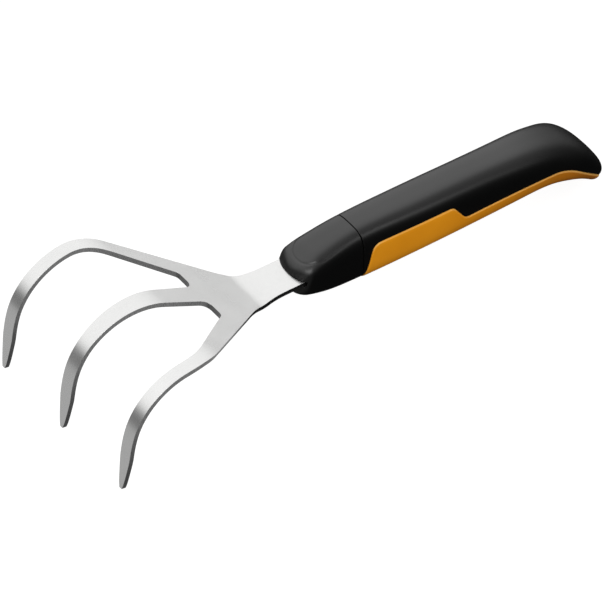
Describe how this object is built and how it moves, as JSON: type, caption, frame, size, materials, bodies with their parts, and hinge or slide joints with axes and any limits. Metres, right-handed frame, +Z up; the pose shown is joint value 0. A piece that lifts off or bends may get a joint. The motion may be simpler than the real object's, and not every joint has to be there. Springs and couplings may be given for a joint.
{
  "type": "hand cultivator",
  "caption": "Rigid hand tool: a flat stamped steel head that forks into curved tines bent down to blunt points, held in a two-tone moulded handle with a hooked butt.",
  "frame": {"origin": "middle of the palm's flat top face, on the centreline, 18 mm in front of the bend where neck and palm meet", "axes": "+X along the handle towards the butt, +Z up with the tines curving down, +Y across the tool"},
  "size_m": [0.3153, 0.1074, 0.0577],
  "materials": {
    "head_steel": "fine satin with polished edges",
    "black_grip": "satin moulded, fine grain",
    "orange_grip": "soft matte moulded",
    "core_plastic": "plain moulded, hidden",
    "pin_steel": "plain, hidden"
  },
  "bodies": {
    "root": {"tine_head": "head_steel", "nose_collar": "black_grip", "grip_cover": "black_grip", "grip_insert": "orange_grip", "core_upper": "core_plastic", "core_lower": "core_plastic", "tang_pin_front": "pin_steel", "tang_pin_rear": "pin_steel"}
  },
  "joints": []
}
